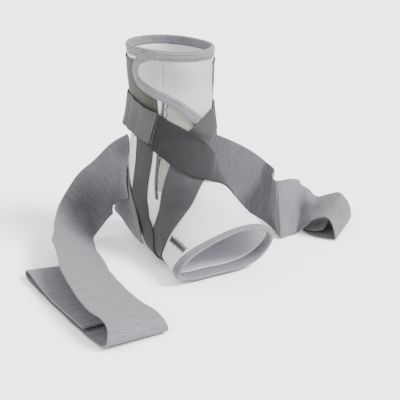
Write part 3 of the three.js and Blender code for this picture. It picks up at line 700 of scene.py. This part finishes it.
def webbing_look(name, dark, light, painted_shades=()):
    look = Look(name, roughness=0.85, sheen=0.08, specular=0.15)
    weave = look.math("MULTIPLY", look.bands(0.95, "X", 0.4), look.bands(0.8, "Y", 0.4))
    fibre = look.ramp(look.noise(700.0, 4.0), 0.25, 0.8, dark, light)
    patch = look.ramp(look.noise(45.0, 3.0), 0.3, 0.7, dark, light)
    tone = look.blend(0.35, fibre, patch)
    threads = look.ramp(weave, 0.0, 0.8, (206, 206, 208), (255, 255, 255))
    # The colour takes painted shade round the given points.
    look.color(look.paint_shade(look.blend(0.6, tone, threads, "MULTIPLY"), painted_shades))
    look.height(weave, 0.16)
    look.height(look.noise(1100.0, 3.0), 0.10)
    return look.done()


def elastic_look(name, rib_depth):
    look = Look(name, roughness=0.8, sheen=0.12, specular=0.2)
    rib = look.bands(1.7, "X", 1.2)
    broad = look.noise(1.0, 3.0, (9.0, 0.6, 1.0), "UV")
    streak = look.ramp(broad, 0.3, 0.7, (76, 76, 80), (120, 120, 125))
    ribs = look.ramp(rib, 0.0, 0.9, (90, 90, 94), (111, 111, 116))
    cross = look.ramp(look.noise(850.0, 3.0), 0.3, 0.7, (190, 190, 192), (255, 255, 255))
    tone = look.blend(0.5, streak, ribs)
    # The colour takes painted shade round the elastic's shade points.
    look.color(look.paint_shade(look.blend(0.5, tone, cross, "MULTIPLY"), ELASTIC_PAINTED_SHADE))
    look.height(rib, rib_depth)
    look.height(look.bands(0.9, "Y", 0.8), 0.10)
    look.height(look.noise(900.0, 2.0), 0.06)
    return look.done()


def thread_look(name, *shade):
    look = Look(name, roughness=0.6, sheen=0.2)
    shade = screen(*shade)
    light = tuple(min(1.0, c * 1.5) for c in shade)
    look.color(look.ramp(look.noise(1500.0, 2.0), 0.3, 0.7, shade, light))
    look.height(look.bands(0.7, "X"), 0.1)
    return look.done()


laminate = laminate_look("white_laminate", (190, 187, 193), (203, 201, 206), SHELL_PAINTED_SHADE)
# A darker copy of the shell's laminate for the flap: painted shade, as the flap faces away from the key
# light.
shaded_flap_laminate = laminate_look("shaded_flap_laminate", (150, 148, 153), (166, 164, 169), FLAP_PAINTED_SHADE)
binding = binding_look()
loop_pile = loop_look()
hook_tape = hook_look()
webbing = webbing_look("grey_webbing", (50, 50, 52), (69, 69, 71), WEBBING_PAINTED_SHADE)
dark_webbing = webbing_look("dark_webbing", (30, 30, 32), (45, 45, 47))
stirrup_webbing = webbing_look("stirrup_webbing", (47, 46, 46), (64, 63, 63))
tab_cloth = webbing_look("tab_cloth", (61, 60, 60), (81, 80, 80))
elastic = elastic_look("ribbed_elastic", 0.13)
worn_elastic = elastic_look("worn_elastic", 0.26)
brown_thread = thread_look("brown_thread", 34, 25, 25)
grey_thread = thread_look("grey_thread", 42, 42, 44)
edging_thread = thread_look("edging_thread", 44, 44, 46)
dark_thread = thread_look("dark_thread", 30, 29, 30)


# Thread and seams

# A direction that no thread runs along, and the share of a thread's radius left at its ends
THREAD_UP = np.array((0.31, 0.42, 0.85))
THREAD_TIP = 0.4
STITCH_SHARE = np.linspace(0, 1, 5)
STITCH_DIP = (2 * STITCH_SHARE - 1) ** 4
STITCH_SUNK = 0.4
RING_STITCH = (1.7, 1.0)


def thread_tubes(name, lines, material, radius, sides=6):
    """Threads along polylines of points, as closed tubes in one mesh."""
    vertices, faces, uvs = [], [], []
    offset = 0
    angle = np.arange(sides) * 2 * math.pi / sides
    for line in lines:
        tangent = unit(np.gradient(line, axis=0))
        side = unit(np.cross(tangent, THREAD_UP))
        other = np.cross(tangent, side)
        size = np.full(len(line), radius)
        size[0] = size[-1] = radius * THREAD_TIP
        ring = (line[:, None] + size[:, None, None] * (np.cos(angle)[None, :, None] * side[:, None]
                                                       + np.sin(angle)[None, :, None] * other[:, None]))
        count = len(line)
        vertices.append(ring.reshape(-1, 3))
        i, j = quads(count - 1, sides)
        faces.extend((grid_faces(i, j, i + 1, (j + 1) % sides, sides) + offset).tolist())
        uvs.append(corner_uvs(i, j, np.arange(count + 1) * radius * 2, np.arange(sides + 1) * radius)
                   .reshape(-1, 2))
        for row, order in ((0, 1), (count - 1, -1)):
            faces.append(((row * sides + np.arange(sides))[::order] + offset).tolist())
            uvs.append(np.zeros((sides, 2)))
        offset += count * sides
    return link_mesh(name, np.concatenate(vertices), faces, np.concatenate(uvs), material)


def route_length(route):
    return follow_route(route)[4]


def running_stitch(route, length, gap, raised):
    """Short stitches along a route, over what lies there."""
    lines = []
    for start in np.arange(int(route_length(route) / (length + gap))) * (length + gap):
        along, around = follow_route(route, start + STITCH_SHARE * length)[:2]
        lift = sample_map(height_map, along, around) + raised - 0.35 * STITCH_DIP
        lines.append(form(along, around, lift))
    return lines


def dashes(points, sunk, length, gap):
    """Stitches along a line of points, with their ends down on a second line."""
    lengths = run_lengths(points)
    dip = STITCH_DIP[:, None]
    lines = []
    for start in np.arange(gap / 2, lengths[-1] - length, length + gap):
        at = start + STITCH_SHARE * length
        top, low = (np.stack([np.interp(at, lengths, line[:, k]) for k in range(3)], axis=-1)
                    for line in (points, sunk))
        lines.append(top * (1 - dip) + low * dip)
    return lines


def ring_stitches(distance, at_foot, rise):
    """A row of stitches all round the sleeve, at a distance from its edge."""
    share = distance / SLEEVE_LENGTH
    around = np.linspace(0, 360, 400)
    along = np.full(len(around), 1 - share if at_foot else share)
    return dashes(form(along, around, rise), form(along, around, rise - STITCH_SUNK), *RING_STITCH)


def wavy_line(route, lift):
    along, around = follow_route(route, np.arange(0, route_length(route), 1.0))[:2]
    wave = 0.7 * np.sin(np.arange(len(along)) * 0.9)
    return form(along, around + wave, lift)


def zigzag(route, width, pitch, lift):
    along, around, direction = follow_route(route, np.arange(0, route_length(route), pitch / 2))[:3]
    steps = np.arange(len(along))
    swing = np.where(steps % 2, 1.0, -1.0)[:, None]
    side = unit(np.cross(plain_normal(along, around), direction)) * swing
    corners = walk_over(along, around, side, [width / 2])[-1]
    fine = np.linspace(0, len(along) - 1, 4 * len(along))
    return form(*(np.interp(fine, steps, corner) for corner in corners), lift)


# Sleeve and edgings

def ring_places(along, columns):
    around = np.arange(columns) * 360.0 / columns
    return np.repeat(along[None, :], columns, axis=0), np.repeat(around[:, None], len(along), axis=1)


SLEEVE_COLUMNS = 200
EDGING_COLUMNS = 220
end_share = BINDING_WIDTH / SLEEVE_LENGTH + 0.25 / SLEEVE_LENGTH
sleeve_places = ring_places(np.linspace(end_share, 1 - end_share, 120), SLEEVE_COLUMNS)
sleeve_low, sleeve_high = (form(*sleeve_places, lift) for lift in (0.0, SLEEVE_WALL))
sleeve = shell_mesh("sleeve_cloth", sleeve_low, sleeve_high, laminate, wrap=True)

# Folded edging: distance from the edge and height over the hollow, round its section
EDGING_SECTION = ((8.0, 2.05), (7.85, 2.45), (7.4, 2.7), (6.0, 2.55), (4.0, 2.75), (2.0, 2.7),
                  (0.9, 2.5), (0.25, 1.95), (0.0, 1.0), (0.25, 0.05), (0.9, -0.45), (2.0, -0.6),
                  (4.0, -0.6), (6.0, -0.55), (7.4, -0.6), (7.85, -0.4), (8.0, 0.0), (8.0, 1.0))


def edging(name, at_foot):
    distance, height = np.array(EDGING_SECTION).T
    share = distance / SLEEVE_LENGTH
    places = ring_places(1 - share if at_foot else share, EDGING_COLUMNS)
    return ring_mesh(name, form(*places, height[None, :]), binding)


rim_edging = edging("rim_edging", False)
foot_edging = edging("foot_edging", True)

# Cuff panels
loop_piece = lay("loop_pile_panel", patch_places(LOOP_PANEL), PANEL_THICKNESS, loop_pile)
hook_piece = lay("hook_tape_strip", patch_places(HOOK_STRIP), PANEL_THICKNESS, hook_tape)
closure_piece = lay("closure_tape_patch", patch_places(CLOSURE_PATCH), PANEL_THICKNESS, hook_tape)


# Cuff flap

FLAP_TOP_COUNT = 60
FLAP_TIP_COUNT = 160
FLAP_ROW_COUNT = 44
FLAP_MIDDLE_SHARE = 0.46
FLAP_CELLS = 5
FIELD_SHARE = 0.8
PILLOW_HEIGHT = 0.5
PILLOW_EDGE = 9.0


def flap_outline():
    around = FLAP_END + (FLAP_TIP[0][1] - FLAP_END) * np.arange(FLAP_TOP_COUNT) / FLAP_TOP_COUNT
    top = np.stack((np.full(FLAP_TOP_COUNT, FLAP_TOP), around), axis=1)
    tip = curve(FLAP_TIP, np.linspace(0, len(FLAP_TIP) - 1, FLAP_TIP_COUNT))
    outline = np.concatenate((top, tip))
    for _ in range(6):
        outline[1:-1] = (outline[:-2] + 2 * outline[1:-1] + outline[2:]) / 4
    return outline


def flap_pieces():
    outline = flap_outline()
    along, around = outline[:, 0], outline[:, 1]
    point = plain_point(along, around)
    direction = unit(np.gradient(point, axis=0))
    inward = unit(np.cross(plain_normal(along, around), direction))
    across = edged(FLAP_BINDING_WIDTH, 1.2, (0.0, 0.12, 0.35, 0.7))
    strips = [(along, around)] + walk_over(along, around, inward, across[1:])
    seam = walk_over(along, around, inward, [FLAP_BINDING_WIDTH + 0.2])[-1]
    strip_along, strip_around = np.array(strips).transpose(1, 2, 0)
    last = len(along) - 1
    tip = int(round(last * FLAP_MIDDLE_SHARE))
    step = np.arange(1, tip + 1)
    field = []
    for values in seam:
        upper = values[tip - step][:, None]
        lower = np.interp(tip + (last - tip) * step / tip, np.arange(last + 1), values)[:, None]
        field.append(upper + (lower - upper) * np.linspace(0, 1, FLAP_ROW_COUNT))
    return (strip_along, strip_around, across), field


(strip_along, strip_around, strip_across), (field_along, field_around) = flap_pieces()
field_lift = lift_over(field_along, field_around, FLAP_CELLS)
strip_lift = lift_over(strip_along, strip_around, FLAP_CELLS)
field_points = form(field_along, field_around, field_lift)
seam_line = np.concatenate((field_points[:, 0], field_points[:, -1]))[::3]
border = np.min(np.linalg.norm(field_points[:, :, None] - seam_line[None, None], axis=-1), axis=-1)
field_top = field_lift + FLAP_THICKNESS * FIELD_SHARE + PILLOW_HEIGHT * smooth_step(border / PILLOW_EDGE)
strip_top = strip_lift + FLAP_THICKNESS + BINDING_EXTRA
flap_high = form(field_along, field_around, field_top)
flap_piece = shell_mesh("flap_cloth", field_points, flap_high, shaded_flap_laminate)
strip_edge = np.minimum(strip_across, FLAP_BINDING_WIDTH - strip_across)
strip_low, strip_high = thick_pair(strip_along, strip_around, strip_lift, FLAP_THICKNESS + BINDING_EXTRA,
                                   None, strip_edge, radius=1.3)
flap_edging = shell_mesh("flap_edging", strip_low, strip_high, binding)
cover_map(field_along, field_around, field_top)
cover_map(strip_along, strip_around, strip_top)

# Stitching that the straps cover in part
FLAP_SEAM = ((0.040, 44.0), (0.100, 44.0), (0.152, 44.5))
CLOSURE_SEAM = ((0.372, 53.4), (0.414, 54.6), (0.461, 56.6), (0.507, 59.4), (0.550, 63.0), (0.589, 66.8))
CLOSURE_SLIT = ((0.376, 49.6), (0.416, 51.0), (0.463, 54.0), (0.510, 57.2), (0.556, 61.4))
CUFF_SEAM = ((0.170, 45.6), (0.200, 46.6), (0.235, 48.6), (0.262, 50.6))
CUFF_SLIT = ((0.170, 40.6), (0.200, 41.4), (0.235, 42.6), (0.262, 43.6))
HEM_ROWS = (((0.386, 43.5), (0.398, 33.0), (0.412, 20.0)),
            ((0.412, 44.5), (0.424, 33.0), (0.436, 20.0)),
            ((0.396, 46.5), (0.450, 49.5), (0.520, 54.0)))
CROSSING_ROW = ((0.556, 10.1), (0.586, 3.6), (0.617, -2.8), (0.650, -12.1))
FOOT_SEAM = ((0.838, 79.6), (0.876, 76.1), (0.914, 72.5), (0.956, 69.7))
ON_SLEEVE = SLEEVE_WALL + 0.18
# Zigzags: route, width, pitch and height
BROWN_ZIGZAGS = ((CLOSURE_SEAM, 4.6, 1.6, ON_SLEEVE + 0.4), (FOOT_SEAM, 6.6, 1.9, ON_SLEEVE))
CUFF_ZIGZAG = (CUFF_SEAM, 4.4, 1.5, ON_SLEEVE)
# Running stitches: route, stitch, gap and height over what lies there
GREY_ROWS = ((FLAP_SEAM, 2.4, 1.0, 0.08), *((row, 1.6, 0.9, 0.05) for row in HEM_ROWS),
             (CROSSING_ROW, 1.5, 1.2, 0.05))
# Stitches of the edgings: distance from the edge and height over the hollow
EDGING_ROWS = ((6.4, 2.6), (1.6, 2.66))
FLAP_EDGING_STITCH = (1.6, 1.0)
brown_lines = [zigzag(*seam) for seam in BROWN_ZIGZAGS]
closure_zigzag = thread_tubes("closure_zigzag", brown_lines, brown_thread, radius=0.32)
cuff_zigzag = thread_tubes("cuff_zigzag", [zigzag(*CUFF_ZIGZAG)], dark_thread, radius=0.3)
# Dark cords on the overlap edges of the closure and cuff openings: the raised edges, drawn dark as painted
# shadow of the gap under them.
slit_lines = [wavy_line(route, ON_SLEEVE + 0.9) for route in (CLOSURE_SLIT, CUFF_SLIT)]
opening_shadow_cords = thread_tubes("opening_shadow_cords", slit_lines, dark_thread, radius=0.5)
grey_lines = [line for row in GREY_ROWS for line in running_stitch(*row)]
flap_stitches = thread_tubes("flap_stitches", grey_lines, grey_thread, radius=0.2)
edging_lines = []
for distance, rise in EDGING_ROWS:
    for at_foot in (False, True):
        edging_lines += ring_stitches(distance, at_foot, rise)
    column = int(np.argmin(np.abs(strip_across - distance * FLAP_BINDING_WIDTH / BINDING_WIDTH)))
    edge = strip_along[:, column], strip_around[:, column]
    top = strip_top[:, column] + 0.02
    edging_lines += dashes(form(*edge, top), form(*edge, top - STITCH_SUNK), *FLAP_EDGING_STITCH)
edging_stitches = thread_tubes("edging_stitches", edging_lines, edging_thread, radius=0.3, sides=5)

# Crossed straps, stirrup and end tab
lateral_places = strap_places(LATERAL_ROUTE, WEBBING_WIDTH)
lateral_strap = lay("lateral_instep_strap", lateral_places, WEBBING_THICKNESS, webbing,
                    stand=(-60.0, 24.0, 5.0))
stirrup_places = strap_places(STIRRUP_ROUTE, STIRRUP_WIDTH)
stirrup = lay("stirrup_webbing_strap", stirrup_places, WEBBING_THICKNESS, stirrup_webbing)
medial_places = strap_places(MEDIAL_ROUTE, WEBBING_WIDTH)
medial_strap = lay("medial_instep_strap", medial_places, WEBBING_THICKNESS, dark_webbing)
# A black strip peeking out past the end tab's lifted end: painted shadow line under the tab, laid as a thin
# backing.
backing = lay("tab_end_shadow_strip", strap_places(TAB_BACKING_ROUTE, TAB_WIDTH - 1.0), 0.5, dark_thread)
tab_places = strap_places(TAB_ROUTE, TAB_WIDTH)
tab = lay("end_tab", tab_places, WEBBING_THICKNESS, tab_cloth, stand=(124.0, 26.0, 6.0))


# Loose elastic straps

# Rows of the tables that lie on the sleeve, and how far a root's points cover it upwards and aside
ROOT_ROWS = 3.0
ROOT_HEIGHT = 16.0
ROOT_BESIDE = 4.0
EDGE_RADIUS = 0.6
FLOOR_GAP = 0.05
# Waves of the long edges: height and length, and how far and over what length they sway
FLUTTER, FLUTTER_LENGTH, SWAY, SWAY_LENGTH = 0.2, 4.3, 1.3, 17.0


def sleeve_grid(along, around):
    """Places, points and normals of the hollow's grid."""
    along, around = np.meshgrid(along, around, indexing="ij")
    return along, around, form(along, around, 0.0), plain_normal(along, around)


def push_out(points, room):
    """Move points of a strap's root out of what is laid."""
    along, around, base, normal = sleeve_grid(np.linspace(0, 1, MAP_ROWS // 2 + 1), np.arange(0, 360, 3.0))
    height = sample_map(spread_map(4), along, around).reshape(-1)
    base, normal = base.reshape(-1, 3), normal.reshape(-1, 3)
    for _ in range(2):
        flat = points.reshape(-1, 3)
        nearest = np.array([np.argmin(((base - p) ** 2).sum(1)) for p in flat])
        rise = ((flat - base[nearest]) * normal[nearest]).sum(1)
        gap = rise - height[nearest] - room
        flat += normal[nearest] * np.where(gap < 0, -gap, 0.0)[:, None]
    return points


def cover_loose(points, half):
    """Note in the height map that a loose strap's root lies over the sleeve."""
    _, _, base, normal = sleeve_grid(np.linspace(0, 1, MAP_ROWS + 1),
                                     np.arange(MAP_COLUMNS) * 360.0 / MAP_COLUMNS)
    for point in points:
        offset = point - base
        rise = (offset * normal).sum(-1)
        beside = (offset * offset).sum(-1) - rise * rise
        under = (rise > 0) & (rise < ROOT_HEIGHT) & (beside < ROOT_BESIDE ** 2)
        height_map[under] = np.maximum(height_map[under], rise[under] + half)


def loose_strap(name, table, side_reach, material):
    """A loose strap through the rows of a table, and its length."""
    def centre_at(values):
        ahead, beside, out, up = values[:, :4].T
        return np.stack((ahead * np.where(ahead < 0, HEEL_REACH, LOOSE_FORWARD),
                         beside * FOOT_HALF_WIDTH + out * side_reach, up * ELASTIC_WIDTH), axis=-1)

    t, distances, total = even_run(table, centre_at, 40, LOOSE_STEP)
    values = curve(table, t)
    heading, lean = np.radians(values[:, 4:6]).T
    level = np.cos(lean)
    across = np.stack((level * np.cos(heading), level * np.sin(heading), np.sin(lean)), axis=-1)
    aside = edged(ELASTIC_WIDTH, LOOSE_ACROSS_STEP) - ELASTIC_WIDTH / 2
    middle = centre_at(values)[:, None] + across[:, None] * (values[:, 6:7] * aside[None, :])[..., None]
    root = t < ROOT_ROWS
    middle[root] = push_out(middle[root], CLEARANCE + ELASTIC_THICKNESS / 2)
    for _ in range(4):
        even = (middle[:-2] + 2 * middle[1:-1] + middle[2:]) / 4
        middle[1:-1] = np.where(root[1:-1, None, None], even, middle[1:-1])
    cover_loose(middle[root][::3, ::2].reshape(-1, 3), ELASTIC_THICKNESS / 2)
    run = np.gradient(middle, axis=0)
    normal = unit(np.cross(run, middle[:, -1:] - middle[:, :1]))
    sway = SWAY * np.sin(distances / SWAY_LENGTH)
    flutter = FLUTTER * np.sin(distances / FLUTTER_LENGTH + sway)[:, None]
    edge = (np.abs(aside) / (ELASTIC_WIDTH / 2)) ** 6
    middle = middle + normal * (flutter * edge[None, :])[..., None]
    share = (round_share(np.minimum(distances, total - distances), EDGE_RADIUS)[:, None]
             * round_share(ELASTIC_WIDTH / 2 - np.abs(aside), EDGE_RADIUS)[None, :])
    half = (share * ELASTIC_THICKNESS / 2)[..., None]
    low, high = middle - normal * half, middle + normal * half
    for grid in (low, high):
        grid[..., 2] = np.maximum(grid[..., 2], FLOOR_GAP)
    return shell_mesh(name, low, high, material), total


medial_elastic, medial_length = loose_strap("medial_elastic", MEDIAL_ELASTIC, LOOSE_INWARD, worn_elastic)
lateral_elastic, lateral_length = loose_strap("lateral_elastic", LATERAL_ELASTIC, LOOSE_OUTWARD, elastic)

pieces = {
    "sleeve": sleeve, "rim_binding": rim_edging, "foot_binding": foot_edging, "loop_panel": loop_piece,
    "hook_strip": hook_piece, "closure_patch": closure_piece, "cuff_flap": flap_piece,
    "flap_binding": flap_edging, "instep_strap_lateral": lateral_strap, "stirrup_strap": stirrup,
    "instep_strap_medial": medial_strap, "strap_tab": tab, "elastic_strap_medial": medial_elastic,
    "elastic_strap_lateral": lateral_elastic,
}
for node, piece in pieces.items():
    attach(piece, BODY)
    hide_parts(node)
for piece in (closure_zigzag, cuff_zigzag, opening_shadow_cords, flap_stitches, edging_stitches, backing):
    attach(piece, BODY)


for piece, panel in ((loop_piece, LOOP_PANEL), (hook_piece, HOOK_STRIP), (closure_piece, CLOSURE_PATCH)):
    width, height = patch_places(panel)[4]

# Floor, light and camera, in metres
FLOOR_HALF = 3.0
FLOOR_LEVEL = -0.0004
floor_mesh = bpy.data.meshes.new("floor")
corners = [(x * FLOOR_HALF, y * FLOOR_HALF, FLOOR_LEVEL) for x, y in ((-1, -1), (1, -1), (1, 1), (-1, 1))]
floor_mesh.from_pydata(corners, [], [(0, 1, 2, 3)])
floor = add_object("floor", floor_mesh)
floor_look = Look("studio_floor", roughness=0.9, sheen=0.0, specular=0.1)
floor_look.color(floor_look.ramp(floor_look.noise(3.0, 2.0), 0.2, 0.8, (0.96, 0.96, 0.965, 1),
                                 (0.98, 0.98, 0.985, 1)))
floor_look.height(floor_look.noise(40.0, 2.0), 0.02)
floor_mesh.materials.append(floor_look.done())

world = bpy.data.worlds.new("studio")
world.use_nodes = True
background = world.node_tree.nodes["Background"].inputs
background["Color"].default_value = (1.0, 1.0, 1.0, 1.0)
background["Strength"].default_value = 1.9
bpy.context.scene.world = world

KEY_FROM = Vector((1.05, 0.76, 1.32))
FILL_PLACE = Vector((0.5, -1.3, 0.9))
FILL_AIM = Vector((0.0, 0.0, 0.08))
sun = bpy.data.lights.new("key", "SUN")
sun.energy = 8.5
sun.angle = math.radians(22.0)
key = add_object("key", sun)
key.rotation_euler = KEY_FROM.to_track_quat("Z", "Y").to_euler()
area = bpy.data.lights.new("fill", "AREA")
area.size = 1.0
area.energy = 11.0
fill = add_object("fill", area)
fill.location = FILL_PLACE
fill.rotation_euler = (FILL_AIM - FILL_PLACE).to_track_quat("-Z", "Y").to_euler()

# The photograph's view, from the front and the outer side
CAMERA_AZIMUTH = math.radians(58.6)
CAMERA_ELEVATION = math.radians(19.4)
CAMERA_DISTANCE = 0.850
FOCAL_SHARE = 949.0 / 400.0
AIM_RIGHT = 0.0253
AIM_UP = 0.0399
SENSOR = 36.0
level = math.cos(CAMERA_ELEVATION)
back = Vector((math.sin(CAMERA_AZIMUTH) * level, -math.cos(CAMERA_AZIMUTH) * level,
               math.sin(CAMERA_ELEVATION)))
right = Vector((math.cos(CAMERA_AZIMUTH), math.sin(CAMERA_AZIMUTH), 0.0))
aim = right * AIM_RIGHT + Vector((0.0, 0.0, AIM_UP))
camera_data = bpy.data.cameras.new("photo_view")
camera_data.sensor_width = SENSOR
camera_data.lens = SENSOR * FOCAL_SHARE
camera_data.clip_start = 0.01
camera = add_object("photo_view", camera_data)
camera.location = aim + back * CAMERA_DISTANCE
camera.rotation_euler = back.to_track_quat("Z", "Y").to_euler()
bpy.context.scene.camera = camera
